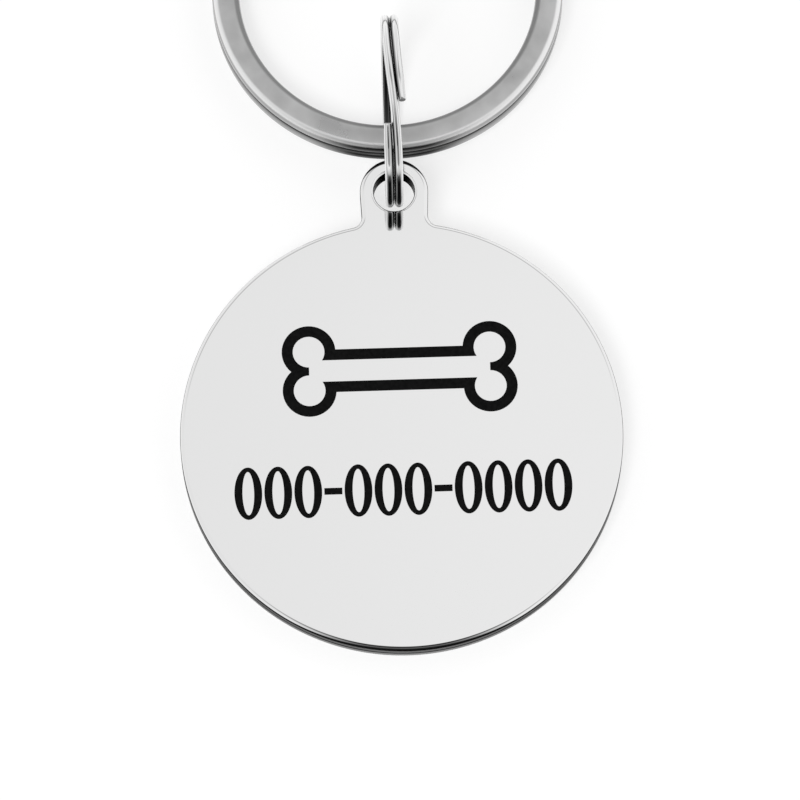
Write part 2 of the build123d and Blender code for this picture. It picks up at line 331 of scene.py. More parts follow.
def brightNickel():
    # drawn spring wire, bright nickel plated: shiny, with faint draw lines along the wire.
    # Painted shade darkens the sides between the two turns and the inside of the coil.
    # The cut ends show grey steel, and painted shade darkens the crest that rubs in the tab's hole.
    look = wireLook
    material, tree, shader = newMaterial("bright_nickel_plated_wire")
    along = addNode(tree, "ShaderNodeAttribute", attribute_name="along").outputs["Fac"]
    section = addNode(tree, "ShaderNodeAttribute", attribute_name="section").outputs["Vector"]
    across = addNode(tree, "ShaderNodeSeparateXYZ", {"Vector": section}).outputs
    point = addNode(tree, "ShaderNodeCombineXYZ", {"X": across["X"], "Y": across["Y"], "Z": along})
    drawn = addNode(tree, "ShaderNodeMapping", {
        "Vector": point.outputs["Vector"],
        "Scale": (perMm(look["lineWidth"]), perMm(look["lineWidth"]), perMm(look["lineLength"])),
    })
    lines = addNode(tree, "ShaderNodeTexNoise", {
        "Vector": drawn.outputs["Vector"], "Scale": 1.0, "Detail": 3.0,
    })
    tone = addNode(tree, "ShaderNodeValToRGB", {"Fac": lines.outputs["Fac"]})
    setRamp(tone, ((look["toneFrom"], look["dull"]), (look["toneTo"], look["nickel"])))
    inside, crest = (
        addNode(tree, "ShaderNodeMapRange", {
            "Value": across["X"], "From Min": look[zone + "From"] * mm, "From Max": look[zone + "To"] * mm,
        }, interpolation_type="SMOOTHSTEP").outputs["Result"]
        for zone in ("inside", "crest")
    )
    # painted shade on the crest where it lies in the tab's hole
    turned = math.radians(look["paintedShadePlace"])
    hole = ringCentre + Vector((0, math.cos(turned), math.sin(turned))) * wireSizes["radius"] * mm
    near = nearShare(tree, hole, look["paintedShadeFull"], look["paintedShadeGone"])
    paintedShadeShare = addNode(tree, "ShaderNodeMath", {0: near, 1: crest}, operation="MULTIPLY").outputs["Value"]
    cut = addNode(tree, "ShaderNodeAttribute", attribute_name="cutEnd").outputs["Fac"]
    colour = tone.outputs["Color"]
    # painted shade on the inside of the coil, the crest in the hole and the sides between the turns; grey
    # steel on the cut ends
    for share, hexColour in (
        (inside, look["inside"]),
        (paintedShadeShare, look["paintedShade"]),
        (hiddenShare(tree, ringCentre, (1, 0, 0), *look["creviceFacing"]), look["crevice"]),
        (cut, look["cutSteel"]),
    ):
        colour = addNode(tree, "ShaderNodeMix", {
            0: share, 6: colour, 7: linear(hexColour),
        }, data_type="RGBA").outputs[2]
    low, high = look["roughness"]
    rough = addNode(tree, "ShaderNodeMapRange", {
        "Value": lines.outputs["Fac"], "From Min": look["lineFrom"], "From Max": look["lineTo"],
        "To Min": high, "To Max": low,
    })
    sheared = addNode(tree, "ShaderNodeMix", {0: cut, 2: rough.outputs["Result"], 3: look["cutRoughness"]})
    tree.links.new(colour, shader.inputs["Base Color"])
    tree.links.new(sheared.outputs[0], shader.inputs["Roughness"])
    shader.inputs["Metallic"].default_value = 1.0
    return material


satinLook = {
    "nickel": "#d8d8d8", "worn": "#cacaca", "toneFrom": 0.35, "toneTo": 0.65,
    "mottle": 2.2, "mottleFrom": 0.3, "mottleTo": 0.7, "roughness": (0.26, 0.36),
    # outwards across the band, from its middle; the sides are both alike. The inner corners get painted
    # shade, the outer ones a painted highlight, and the rolled sides a painted darker reflection
    "inner": "#8c8c8c", "innerFrom": -0.5, "innerTo": -0.7, "innerRoughness": 0.42,
    "paintedHighlight": "#f4f4f4", "paintedHighlightFrom": 0.5, "paintedHighlightTo": 0.7, "paintedHighlightRoughness": 0.42,
    "side": "#a4a4a4", "sideFrom": 0.86, "sideTo": 0.96, "sideRoughness": 0.12,
    "crevice": "#3c3c3c", "creviceFacing": (0.3, 0.8),
    "paintedShade": "#1c1c1c", "paintedShadeFull": 2.5, "paintedShadeGone": 6.5,  # painted shade, and how far it reaches from where the small ring rubs
    "grain": 0.14, "grainDepth": 0.004, "grainStrength": 0.5,
}


def satinNickel():
    # flat spring steel, nickel plated and tumbled: an even satin with a fine grain and a faint mottle.
    # Painted highlight brightens its outer corners, painted shade darkens its inner ones, and its smooth
    # rolled sides carry a painted darker reflection.
    # Painted shade darkens the slit between the coils and the side where the small ring rubs.
    look = satinLook
    material, tree, shader = newMaterial("tumbled_satin_nickel")
    coords = addNode(tree, "ShaderNodeTexCoord").outputs["Object"]
    mottle = addNode(tree, "ShaderNodeTexNoise", {
        "Vector": coords, "Scale": perMm(look["mottle"]), "Detail": 5.0,
    })
    tone = addNode(tree, "ShaderNodeValToRGB", {"Fac": mottle.outputs["Fac"]})
    setRamp(tone, ((look["toneFrom"], look["worn"]), (look["toneTo"], look["nickel"])))
    section = addNode(tree, "ShaderNodeAttribute", attribute_name="section").outputs["Vector"]
    across = addNode(tree, "ShaderNodeSeparateXYZ", {"Vector": section}).outputs["X"]
    aside = addNode(tree, "ShaderNodeMath", {0: across}, operation="ABSOLUTE")
    colour, shares = tone.outputs["Color"], []
    # painted shade on the inner corners, painted highlight on the outer ones, painted darker reflection on
    # the rolled sides
    zones = {"inner": across, "paintedHighlight": across, "side": aside.outputs["Value"]}
    for zone, value in zones.items():
        shares.append(addNode(tree, "ShaderNodeMapRange", {
            "Value": value, "From Min": look[zone + "From"] * mm, "From Max": look[zone + "To"] * mm,
        }, interpolation_type="SMOOTHSTEP").outputs["Result"])
        colour = addNode(tree, "ShaderNodeMix", {
            0: shares[-1], 6: colour, 7: linear(look[zone]),
        }, data_type="RGBA").outputs[2]
    outerRadius = keySizes["radius"] + keySizes["width"] / 2
    paintedShadeSpot = keyCentre - keyAxis.cross(Vector((1, 0, 0))) * outerRadius * mm  # nearest to the tag
    # painted shade on the rolled side near the small ring, and in the slit between the coils
    near = nearShare(tree, paintedShadeSpot, look["paintedShadeFull"], look["paintedShadeGone"])
    paintedShadeShare = addNode(tree, "ShaderNodeMath", {0: near, 1: shares[-1]}, operation="MULTIPLY")
    for share, hexColour in (
        (paintedShadeShare.outputs["Value"], look["paintedShade"]),
        (hiddenShare(tree, keyCentre, keyAxis, *look["creviceFacing"]), look["crevice"]),
    ):
        colour = addNode(tree, "ShaderNodeMix", {
            0: share, 6: colour, 7: linear(hexColour),
        }, data_type="RGBA").outputs[2]
    grain = addNode(tree, "ShaderNodeTexNoise", {
        "Vector": coords, "Scale": perMm(look["grain"]), "Detail": 2.0,
    })
    low, high = look["roughness"]
    rough = addNode(tree, "ShaderNodeMapRange", {
        "Value": mottle.outputs["Fac"], "From Min": look["mottleFrom"], "From Max": look["mottleTo"],
        "To Min": low, "To Max": high,
    })
    matter = rough.outputs["Result"]
    for share, zone in zip(shares, zones):
        matter = addNode(tree, "ShaderNodeMix", {
            0: share, 2: matter, 3: look[zone + "Roughness"],
        }).outputs[0]
    bump = addNode(tree, "ShaderNodeBump", {
        "Height": grain.outputs["Fac"],
        "Strength": look["grainStrength"], "Distance": look["grainDepth"] * mm,
    })
    tree.links.new(colour, shader.inputs["Base Color"])
    tree.links.new(matter, shader.inputs["Roughness"])
    tree.links.new(bump.outputs["Normal"], shader.inputs["Normal"])
    shader.inputs["Metallic"].default_value = 1.0
    return material


# Engraving: loops of points in the tag's own frame, in millimetres

boneSizes = {
    "rise": 4.9, "length": 17.0, "height": 6.8, "lobeOverlap": 1.0,
    "shaft": 3.2, "stroke": 0.8, "arcSteps": 28,
}
figureSizes = {
    "drop": 4.1, "margin": 2.4, "height": 3.9, "sideShare": 0.29, "topStroke": 0.34, "gap": 0.16,
    "dash": (1.3, 0.5), "groups": (3, 3, 4), "steps": 96,
}
engraving = {"depth": 0.22, "recess": 0.06, "clearance": 0.02}


def boneLoop(shrink):
    # anticlockwise round a bone that is smaller by this much all round
    b = boneSizes
    full = (b["height"] + b["lobeOverlap"]) / 4
    lobe, half = full - shrink, b["shaft"] / 2 - shrink
    lobeX, lobeY = b["length"] / 2 - full, b["height"] / 2 - full
    shaftAngle = math.degrees(math.asin((half - lobeY) / lobe))  # where the lobe meets the shaft
    endAngle = -math.degrees(math.asin(min(1.0, lobeY / lobe)))  # where the two lobes meet, if they do
    corner = []
    for i in range(b["arcSteps"] + 1):
        angle = math.radians(endAngle + (180 - shaftAngle - endAngle) * i / b["arcSteps"])
        corner.append((lobeX + lobe * math.cos(angle), lobeY + lobe * math.sin(angle)))
    upper = corner + [(-x, y) for x, y in reversed(corner)]
    points = upper + [(-x, -y) for x, y in upper]
    return [Vector((x, y + b["rise"])) for x, y in points]


def figureRow():
    # middles of the noughts and dashes, and a nought's width, from the room that the disc gives
    f = figureSizes
    dashLength = f["dash"][0]
    lowCorner = f["drop"] + f["height"] / 2
    length = 2 * math.sqrt((tagSizes["disc"] - f["margin"]) ** 2 - lowCorner ** 2)
    dashes, figures = len(f["groups"]) - 1, sum(f["groups"])
    width = (length - dashes * dashLength - (figures + dashes - 1) * f["gap"]) / figures
    x, places = -length / 2, []
    for i, count in enumerate(f["groups"]):
        for isDash, step in ([(True, dashLength)] if i else []) + [(False, width)] * count:
            places.append((Vector((x + step / 2, -f["drop"])), isDash))
            x += step + f["gap"]
    return places, width


def ellipseLoop(middle, halfWidth, halfHeight):
    steps = figureSizes["steps"]
    angles = [2 * math.pi * i / steps for i in range(steps)]
    return [middle + Vector((halfWidth * math.cos(a), halfHeight * math.sin(a))) for a in angles]


def dashLoop(middle, shrink):
    halfX, halfY = (size / 2 - shrink for size in figureSizes["dash"])
    return [middle + Vector((x * halfX, y * halfY)) for x, y in ((1, 1), (-1, 1), (-1, -1), (1, -1))]


# A mesh put together from loops, with a true normal for each corner

class Shell:
    def __init__(self):
        self.points, self.faces = [], []

    def loop(self, points, z):
        first = len(self.points)
        self.points += [Vector((p.x, p.y, z)) for p in points]
        return list(range(first, len(self.points)))

    def strip(self, low, high, lowNormals=None, highNormals=None):
        # quads between two closed loops; without normals they are flat
        count = len(low)
        for i in range(count):
            j = (i + 1) % count
            normals = lowNormals and (lowNormals[i], lowNormals[j], highNormals[j], highNormals[i])
            self.faces.append(((low[i], low[j], high[j], high[i]), normals))

    def flat(self, *loops, up=True):
        # a flat face inside the first loop and outside the others
        order = [index for loop in loops for index in loop]
        for triangle in tessellate_polygon([[self.points[i] for i in loop] for loop in loops]):
            a, b, c = (order[i] for i in triangle)
            side = (self.points[b] - self.points[a]).cross(self.points[c] - self.points[a]).z
            self.faces.append(((a, b, c) if (side > 0) == up else (a, c, b), None))

    def mesh(self, name, material, place):
        mesh = bpy.data.meshes.new(name)
        mesh.from_pydata([p * mm for p in self.points], [], [indices for indices, _ in self.faces])
        corners = []
        for polygon, (indices, normals) in zip(mesh.polygons, self.faces):
            corners += normals or [polygon.normal.copy() for _ in indices]
        turn = place.to_3x3()
        mesh.transform(place)
        mesh.shade_smooth()
        mesh.normals_split_custom_set([turn @ normal for normal in corners])
        mesh.materials.append(material)
        return mesh


# Tag plate

def arc(centre, radius, start, stop, steps, side=1):
    # points along an arc with the metal's outward direction, which on a hollow arc points to the centre
    rows = []
    for i in range(steps):
        angle = math.radians(start + (stop - start) * i / steps)
        out = Vector((math.cos(angle), math.sin(angle), 0))
        rows.append((centre + out * radius, out * side))
    return rows


def plateOutline():
    # anticlockwise: over the tab, down the left of the neck, round the disc, up the right of the neck
    t = tagSizes
    tabRadius = t["holeRadius"] + t["tabWall"]
    taper, fillet = math.radians(t["neckTaper"]), t["neckFillet"]
    out = Vector((math.cos(taper), -math.sin(taper), 0))  # away from the right of the neck
    down = Vector((-math.sin(taper), -math.cos(taper), 0))
    top = holeCentre + out * tabRadius
    start = top + out * fillet
    along = start.dot(down)
    run = -along - math.sqrt(along ** 2 - start.length_squared + (t["disc"] + fillet) ** 2)
    centre = start + down * run  # of the fillet between neck and disc
    foot = math.degrees(math.atan2(centre.y, centre.x))
    mirrored = Vector((-centre.x, centre.y, 0))
    leftOut = Vector((-out.x, out.y, 0))
    steps = t["neckSteps"]
    neck = [top + down * run * i / steps for i in range(steps + 1)]
    left = [(Vector((-p.x, p.y, 0)), leftOut) for p in neck[:-1]]
    right = [(p, out) for p in reversed(neck[1:])]
    return (
        arc(holeCentre, tabRadius, -t["neckTaper"], 180 + t["neckTaper"], t["tabSteps"])
        + left
        + arc(mirrored, fillet, t["neckTaper"], -foot, t["filletSteps"], -1)
        + arc(Vector((0, 0, 0)), t["disc"], 180 - foot, fullTurn + foot, t["discSteps"])
        + arc(centre, fillet, 180 + foot, 180 - t["neckTaper"], t["filletSteps"], -1)
        + right
    )


def roundedWall(shell, outline, rounding):
    # sweeps the plate's edge along an outline: a rounding, the wall, a rounding; gives its low and top loops
    thickness, steps = tagSizes["thickness"], tagSizes["roundingSteps"]
    profile = []
    for base, first in ((rounding, -90), (thickness - rounding, 0)):
        for i in range(steps + 1):
            angle = math.radians(first + 90 * i / steps)
            profile.append((rounding * (1 - math.cos(angle)), base + rounding * math.sin(angle), angle))
    loops, normals = [], []
    for inset, z, angle in profile:
        loops.append(shell.loop([p - out * inset for p, out in outline], z))
        normals.append([out * math.cos(angle) + Vector((0, 0, math.sin(angle))) for _, out in outline])
    for i in range(len(loops) - 1):
        shell.strip(loops[i], loops[i + 1], normals[i], normals[i + 1])
    return loops[0], loops[-1]


def engravedPocket(shell, outer, inner):
    # walls and floor of a pocket, with the island that an inner loop leaves; gives its rim
    top, floor = tagSizes["thickness"], tagSizes["thickness"] - engraving["depth"]
    rim, foot = shell.loop(outer, top), shell.loop(outer, floor)
    shell.strip(rim, foot)
    if inner:
        island, islandFoot = shell.loop(inner, top), shell.loop(inner, floor)
        shell.strip(islandFoot, island)
        shell.strip(foot, islandFoot)
        shell.flat(island)
    else:
        shell.flat(foot)
    return rim


def tagPlate():
    t, f, b = tagSizes, figureSizes, boneSizes
    shell = Shell()
    hole = arc(holeCentre, t["holeRadius"], fullTurn, 0, t["holeSteps"], -1)
    edgeLow, edgeTop = roundedWall(shell, plateOutline(), t["rimRounding"])
    holeLow, holeTop = roundedWall(shell, hole, t["holeRounding"])
    rims = [engravedPocket(shell, boneLoop(0), boneLoop(b["stroke"]))]
    places, width = figureRow()
    halfWidth, halfHeight = width / 2, f["height"] / 2
    for middle, isDash in places:
        if isDash:
            rims.append(engravedPocket(shell, dashLoop(middle, 0), None))
        else:
            outer = ellipseLoop(middle, halfWidth, halfHeight)
            inner = ellipseLoop(middle, halfWidth - f["sideShare"] * width, halfHeight - f["topStroke"])
            rims.append(engravedPocket(shell, outer, inner))
    shell.flat(edgeTop, holeTop, *rims)
    shell.flat(edgeLow, holeLow, up=False)
    mesh = shell.mesh("tagPlate", mirrorSteel(), tagMatrix)
    newPiece("tagPlate", mesh, "tag", "tag_plate")


tagPlate()


# Filling of the engraving

def boneFill(material):
    c = engraving["clearance"]
    shell = Shell()
    top = tagSizes["thickness"] - engraving["recess"]
    bottom = tagSizes["thickness"] - engraving["depth"] + c
    outer, inner = boneLoop(c), boneLoop(boneSizes["stroke"] - c)
    outerTop, outerLow = shell.loop(outer, top), shell.loop(outer, bottom)
    innerTop, innerLow = shell.loop(inner, top), shell.loop(inner, bottom)
    shell.strip(outerLow, outerTop)
    shell.strip(innerTop, innerLow)
    shell.strip(outerTop, innerTop)
    shell.strip(innerLow, outerLow)
    mesh = shell.mesh("boneFill", material, tagMatrix)
    newPiece("boneFill", mesh, "tag", "motif_fill")


def treeWithInputs(name, inputs):
    tree = bpy.data.node_groups.new(name, "GeometryNodeTree")
    for label, kind in inputs.items():
        tree.interface.new_socket(label, in_out="INPUT", socket_type="NodeSocket" + kind)
    tree.interface.new_socket("Result", in_out="OUTPUT", socket_type="NodeSocketGeometry")
    return tree, addNode(tree, "NodeGroupInput").outputs


def grownMesh(name, source, tree, values):
    # runs a node tree on an object and gives its result as a plain mesh
    holder = bpy.data.objects.new(name + "Source", source)
    bpy.context.scene.collection.objects.link(holder)
    modifier = holder.modifiers.new("grow", "NODES")
    modifier.node_group = tree
    for item in tree.interface.items_tree:
        if item.name in values:
            modifier[item.identifier] = values[item.name]
    evaluated = holder.evaluated_get(bpy.context.evaluated_depsgraph_get())
    mesh = bpy.data.meshes.new_from_object(evaluated)
    mesh.name = name
    mesh.materials.clear()
    mesh.materials.append(values["Finish"])
    mesh.polygons.foreach_set("material_index", [0] * len(mesh.polygons))
    bpy.data.objects.remove(holder)
    return mesh


def figureTree():
    # noughts on the points that aren't dashes, and dashes on the others
    tree, given = treeWithInputs("figureRow", {
        "Points": "Geometry", "Outer Scale": "Vector", "Inner Scale": "Vector", "Dash Length": "Float",
        "Dash Height": "Float", "Depth": "Float", "Steps": "Int", "Finish": "Material",
    })
    ring = addNode(tree, "GeometryNodeCurvePrimitiveCircle", {"Resolution": given["Steps"], "Radius": 1.0})
    both = addNode(tree, "GeometryNodeJoinGeometry")
    for scale in ("Outer Scale", "Inner Scale"):
        oval = addNode(tree, "GeometryNodeTransform", {
            "Geometry": ring.outputs["Curve"], "Scale": given[scale],
        })
        tree.links.new(oval.outputs["Geometry"], both.inputs["Geometry"])
    bar = addNode(tree, "GeometryNodeCurvePrimitiveQuadrilateral", {
        "Width": given["Dash Length"], "Height": given["Dash Height"],
    })
    isDash = addNode(tree, "GeometryNodeInputNamedAttribute", {"Name": "isDash"}, data_type="BOOLEAN")
    notDash = addNode(tree, "FunctionNodeBooleanMath", {0: isDash.outputs["Attribute"]}, operation="NOT")
    down = addNode(tree, "ShaderNodeMath", {0: given["Depth"], 1: -1.0}, operation="MULTIPLY")
    offset = addNode(tree, "ShaderNodeCombineXYZ", {"Z": down.outputs["Value"]})
    row = addNode(tree, "GeometryNodeJoinGeometry")
    for curve, chosen in (
        (both.outputs["Geometry"], notDash.outputs["Boolean"]),
        (bar.outputs["Curve"], isDash.outputs["Attribute"]),
    ):
        face = addNode(tree, "GeometryNodeFillCurve", {"Curve": curve})
        sunk = addNode(tree, "GeometryNodeExtrudeMesh", {
            "Mesh": face.outputs["Mesh"], "Offset": offset.outputs["Vector"],
            "Offset Scale": 1.0, "Individual": False,
        })
        solid = addNode(tree, "GeometryNodeJoinGeometry", {"Geometry": face.outputs["Mesh"]})
        turned = addNode(tree, "GeometryNodeFlipFaces", {"Mesh": sunk.outputs["Mesh"]})
        tree.links.new(turned.outputs["Mesh"], solid.inputs["Geometry"])
        closed = addNode(tree, "GeometryNodeMergeByDistance", {
            "Geometry": solid.outputs["Geometry"], "Distance": weldDistance,
        })
        placed = addNode(tree, "GeometryNodeInstanceOnPoints", {
            "Points": given["Points"], "Selection": chosen, "Instance": closed.outputs["Geometry"],
        })
        tree.links.new(placed.outputs["Instances"], row.inputs["Geometry"])
    real = addNode(tree, "GeometryNodeRealizeInstances", {"Geometry": row.outputs["Geometry"]})
    done = addNode(tree, "GeometryNodeSetMaterial", {
        "Geometry": real.outputs["Geometry"], "Material": given["Finish"],
    })
    addNode(tree, "NodeGroupOutput", {"Result": done.outputs["Geometry"]})
    return tree


def numberFill(material):
    f, c = figureSizes, engraving["clearance"]
    places, width = figureRow()
    top = tagSizes["thickness"] - engraving["recess"]
    points = bpy.data.meshes.new("figurePlaces")
    points.from_pydata([Vector((p.x, p.y, top)) * mm for p, _ in places], [], [])
    flags = points.attributes.new("isDash", "BOOLEAN", "POINT")
    flags.data.foreach_set("value", [isDash for _, isDash in places])
    halfWidth, halfHeight = width / 2, f["height"] / 2
    side = f["sideShare"] * width
    mesh = grownMesh("numberFill", points, figureTree(), {
        "Outer Scale": ((halfWidth - c) * mm, (halfHeight - c) * mm, 1.0),
        "Inner Scale": ((halfWidth - side + c) * mm, (halfHeight - f["topStroke"] + c) * mm, 1.0),
        "Dash Length": (f["dash"][0] - 2 * c) * mm, "Dash Height": (f["dash"][1] - 2 * c) * mm,
        "Depth": (engraving["depth"] - engraving["recess"] - c) * mm,
        "Steps": f["steps"], "Finish": material,
    })
    mesh.transform(tagMatrix)
    newPiece("numberFill", mesh, "tag", "number_fill")


enamel = blackEnamel()
boneFill(enamel)
numberFill(enamel)


# The two split rings: a section swept along a coil of two turns

wireSizes = {
    "radius": 6.6875, "wire": 0.625, "turnGap": 0.03,  # the turns almost touch, in the node's own width
    "crossing": 93.5, "crossingArc": 107.0, "endsPlace": 110.5, "endsApart": 14.0, "splayArc": 66.0,
    "endTaper": 1.8, "endShare": 0.87,  # the last stretch thins to this share, as the shears leave it
    "endCut": 22.0, "endRounding": 0.06,  # degrees that the shears' cut leans on the last end
    "step": 2.0, "cornerSteps": 9,  # degrees from point to point, and points on a corner
}
keySizes = {
    "radius": 11.9, "width": 2.0, "coil": 1.15, "turnGap": 0.1, "corner": 0.46,
    "crossing": 90.0, "crossingArc": 40.0, "endGap": 3.0,
    "endTaper": 1.0, "endShare": 1.0, "endCut": 0.0, "endRounding": 0.12,
    "step": 2.0, "cornerSteps": 7,
}
roundingPlaces = (0.0, 0.15, 0.45, 1.0)  # where a rounded end has points, as shares of its length
sharpAngle = 40.0  # degrees between faces, past which a ring's edge is drawn sharp
climbMargin = 1.01  # a coil climbs, so its last stretch is a little longer than its rounding


def coilCurve(name, sizes, first, last, offsetAt):
    # a curve from one cut end to the other, with closer points and smaller sections that round its ends
    rounding, half = sizes["endRounding"], sizes["half"]
    perDegree = math.radians(sizes["radius"])  # millimetres of coil
    count = round((last - first) / sizes["step"])
    inner = [first + (last - first) * i / count for i in range(1, count)]
    ends = []
    for share in roundingPlaces:
        inset = rounding * (1 - math.sqrt(1 - (1 - share) ** 2))  # a quarter circle
        ends.append((share * rounding / perDegree, inset / half))
    rows = [(first + ahead, nip) for ahead, nip in ends]
    rows += [(angle, 0.0) for angle in inner]
    rows += [(last - ahead, nip) for ahead, nip in reversed(ends)]
    curve = bpy.data.curves.new(name, "CURVE")
    curve.dimensions = "3D"
    spline = curve.splines.new("POLY")
    spline.points.add(len(rows) - 1)
    for point, (angle, nip) in zip(spline.points, rows):
        fromEnd = min(angle - first, last - angle) * perDegree
        share = sizes["endShare"] + (1 - sizes["endShare"]) * ease(fromEnd / sizes["endTaper"])
        turned = math.radians(angle)
        place = Vector((math.cos(turned), math.sin(turned), 0)) * sizes["radius"]
        place.z = offsetAt(angle)
        point.co = (*(place * mm), 1.0)
        point.radius = share - nip
    return curve


def ringTree():
    # a rounded section along the coil; along and section are kept for the finish
    tree, given = treeWithInputs("splitRing", {
        "Coil": "Geometry", "Width": "Float", "Height": "Float",
        "Corner": "Float", "Corner Steps": "Int", "Finish": "Material",
    })
    upright = addNode(tree, "GeometryNodeSetCurveNormal", {"Curve": given["Coil"]}, mode="Z_UP")
    way = addNode(tree, "GeometryNodeSplineParameter")
    coil = addNode(tree, "GeometryNodeCaptureAttribute", {"Geometry": upright.outputs["Curve"]})
    coil.capture_items.new("FLOAT", "along")
    tree.links.new(way.outputs["Length"], coil.inputs["along"])
    box = addNode(tree, "GeometryNodeCurvePrimitiveQuadrilateral", {
        "Width": given["Width"], "Height": given["Height"],
    })
    rounded = addNode(tree, "GeometryNodeFilletCurve", {
        "Curve": box.outputs["Curve"], "Count": given["Corner Steps"],
        "Radius": given["Corner"], "Limit Radius": True,
    }, mode="POLY")
    spot = addNode(tree, "GeometryNodeInputPosition")
    section = addNode(tree, "GeometryNodeCaptureAttribute", {"Geometry": rounded.outputs["Curve"]})
    section.capture_items.new("VECTOR", "section")
    tree.links.new(spot.outputs["Position"], section.inputs["section"])
    thin = addNode(tree, "GeometryNodeInputRadius")
    swept = addNode(tree, "GeometryNodeCurveToMesh", {
        "Curve": coil.outputs["Geometry"], "Profile Curve": section.outputs["Geometry"],
        "Scale": thin.outputs["Radius"], "Fill Caps": True,
    })
    marked = addNode(tree, "GeometryNodeStoreNamedAttribute", {
        "Geometry": swept.outputs["Mesh"], "Name": "along", "Value": coil.outputs["along"],
    }, data_type="FLOAT", domain="POINT")
    marked = addNode(tree, "GeometryNodeStoreNamedAttribute", {
        "Geometry": marked.outputs["Geometry"], "Name": "section", "Value": section.outputs["section"],
    }, data_type="FLOAT_VECTOR", domain="POINT")
    real = addNode(tree, "GeometryNodeRealizeInstances", {"Geometry": marked.outputs["Geometry"]})
    done = addNode(tree, "GeometryNodeSetMaterial", {
        "Geometry": real.outputs["Geometry"], "Material": given["Finish"],
    })
    addNode(tree, "NodeGroupOutput", {"Result": done.outputs["Geometry"]})
    return tree


def ringMesh(name, sizes, curve, tree, values, place):
    # sweeps a ring, marks its two cut faces and leans the last one
    mesh = grownMesh(name, curve, tree, values)
    ways = [item.value for item in mesh.attributes["along"].data]
    length = max(ways)
    lean = math.tan(math.radians(sizes["endCut"])) / sizes["radius"] / mm
    lastStretch = climbMargin * sizes["endRounding"] * mm
    marks = mesh.attributes.new("cutEnd", "FLOAT", "POINT")
    for vertex, way, mark in zip(mesh.vertices, ways, marks.data):
        mark.value = float(min(way, length - way) < weldDistance)
        if length - way < lastStretch:
            out = vertex.co.xy.length - sizes["radius"] * mm
            vertex.co.rotate(Matrix.Rotation(-out * lean, 3, "Z"))
    mesh.transform(place)
    mesh.shade_smooth()
    mesh.set_sharp_from_angle(angle=math.radians(sharpAngle))
    return mesh


def smallRing(tree):
    w = dict(wireSizes, half=wireSizes["wire"] / 2)
    lift = (w["wire"] + w["turnGap"]) / 2
    first = w["endsPlace"] + w["endsApart"] / 2
    last = w["endsPlace"] - w["endsApart"] / 2 + 2 * fullTurn

    def crossed(angle):
        # where the crossing wire is, on its way from the first layer to the second
        share = min(1, max(0, (angle - fullTurn - w["crossing"]) / w["crossingArc"] + 0.5))
        return lift * (4 * share ** 2 - 1 if share < 0.5 else 1 - 4 * (1 - share) ** 2)

    thinned = w["wire"] * (1 - w["endShare"]) / 2
    firstSplay = lift - crossed(first + fullTurn) - thinned  # the crossing wire pushes each cut end aside
    lastSplay = lift + crossed(last - fullTurn) - thinned

    def offsetAt(angle):
        start = max(0, 1 - (angle - first) / w["splayArc"]) ** 2
        stop = max(0, 1 - (last - angle) / w["splayArc"]) ** 2
        return crossed(angle) + lastSplay * stop - firstSplay * start

    turn = Matrix(((0, 0, 1), (1, 0, 0), (0, 1, 0))).to_4x4()  # stands the coil up, with its axis along x
    mesh = ringMesh("smallSplitRing", w, coilCurve("smallCoil", w, first, last, offsetAt), tree, {
        "Width": w["wire"] * mm, "Height": w["wire"] * mm, "Corner": w["half"] * mm,
        "Corner Steps": w["cornerSteps"], "Finish": brightNickel(),
    }, Matrix.Translation(ringCentre) @ turn)
    newPiece("smallSplitRing", mesh, "small_ring", "small_split_ring")


def keyRing(tree):
    k = dict(keySizes, half=keySizes["coil"] / 2)
    lift = (k["coil"] + k["turnGap"]) / 2
    crossStart = k["crossing"] - k["crossingArc"] / 2 + fullTurn
    first = k["crossing"] + k["crossingArc"] / 2 + k["endGap"]
    last = k["crossing"] - k["crossingArc"] / 2 - k["endGap"] + 2 * fullTurn

    def offsetAt(angle):
        return lift * (2 * ease((angle - crossStart) / k["crossingArc"]) - 1)

    far = keyAxis.cross(Vector((1, 0, 0)))  # away from the tag
    turn = Matrix((Vector((1, 0, 0)), far, keyAxis)).transposed().to_4x4()
    mesh = ringMesh("keyRing", k, coilCurve("keyCoil", k, first, last, offsetAt), tree, {
        "Width": k["width"] * mm, "Height": k["coil"] * mm, "Corner": k["corner"] * mm,
        "Corner Steps": k["cornerSteps"], "Finish": satinNickel(),
    }, Matrix.Translation(keyCentre) @ turn)
    newPiece("keyRing", mesh, "key_ring", "key_ring")


ringSweep = ringTree()
smallRing(ringSweep)
keyRing(ringSweep)


# Floor, light and camera

floorLook = {"size": 6.0, "white": "#f8f8f8", "share": 0.64}  # its size is in metres


